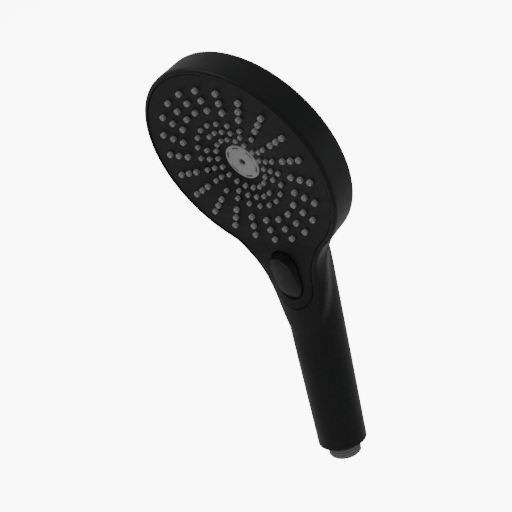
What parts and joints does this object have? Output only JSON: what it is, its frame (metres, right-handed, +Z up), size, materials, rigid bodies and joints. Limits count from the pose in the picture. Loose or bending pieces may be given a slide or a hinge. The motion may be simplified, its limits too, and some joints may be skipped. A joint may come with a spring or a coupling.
{
  "type": "handheld shower head",
  "caption": "Handheld shower head: round dished spray face with silicone nozzles, a select button on the neck, and a round handle ending in a hose thread.",
  "frame": {"origin": "centre of the hose thread's end face, where the hose washer seats", "axes": "+Z up along the handle's axis, -Y is the side that sprays, +X to the right when the spray face is behind the hand"},
  "size_m": [0.135, 0.0756, 0.2766],
  "materials": {
    "housing_black": "fine satin texture",
    "plate_black": "fine matte",
    "button_black": "satin",
    "nozzle_grey": "matte silicone",
    "disc_grey": "matte",
    "connector_grey": "satin",
    "seal_black": "matte",
    "engine_white": "moulded",
    "engine_blue": "moulded",
    "steel": "satin"
  },
  "bodies": {
    "handset": {"housing": "housing_black", "face_plate": "plate_black", "rain_mat": "nozzle_grey", "soft_mat": "nozzle_grey", "spray_disc": "disc_grey", "distributor": "engine_white", "manifold_gasket": "seal_black", "manifold": "engine_white", "engine_screws": "steel", "jet_plate": "engine_white", "turbine_axle": "steel", "rim_seal": "seal_black", "button_pin": "steel", "return_spring": "steel", "valve_body": "engine_white", "valve_seat": "engine_blue", "port_seals": "seal_black", "valve_cap": "engine_white", "valve_cap_screws": "steel", "plunger_seal": "seal_black", "hose_connector": "connector_grey", "connector_seal": "seal_black", "retaining_ring": "steel", "inner_tube": "engine_white", "tube_seals": "seal_black", "filter_screen": "steel", "flow_limiter": "engine_blue", "check_valve_body": "engine_white", "check_spring": "steel"},
    "button": {"select_button": "button_black"},
    "plunger": {"plunger": "engine_white"},
    "rotor": {"valve_rotor": "engine_blue"},
    "turbine": {"turbine_wheel": "engine_blue"},
    "poppet": {"check_poppet": "engine_blue"}
  },
  "joints": [
    {"name": "button_press", "type": "hinge", "parent": "handset", "child": "button", "pos_m": [0, -0.01181, 0.11803], "axis": [-1, 0, 0], "range_deg": [0, 5], "stiffness_Nm_per_rad": 0.6, "springref_deg": -1.15},
    {"name": "plunger_slide", "type": "slide", "parent": "handset", "child": "plunger", "axis": [0, 0.9988, 0.0485], "range_m": [0, 0.0016]},
    {"name": "valve_turn", "type": "hinge", "parent": "handset", "child": "rotor", "pos_m": [0, 0.00602, 0.13642], "axis": [0, -0.9988, -0.0485], "continuous": true},
    {"name": "turbine_spin", "type": "hinge", "parent": "handset", "child": "turbine", "pos_m": [0, -0.02682, 0.20945], "axis": [0, -0.9488, -0.316], "continuous": true},
    {"name": "check_poppet_slide", "type": "slide", "parent": "handset", "child": "poppet", "axis": [0, 0, 1], "range_m": [0, 0.0025], "stiffness_N_per_m": 120, "springref_m": -0.002, "deforming": ["check_spring"]}
  ],
  "couplings": [
    {"joint": "plunger_slide", "follows": "button_press", "m_per_rad": 0.0175}
  ]
}
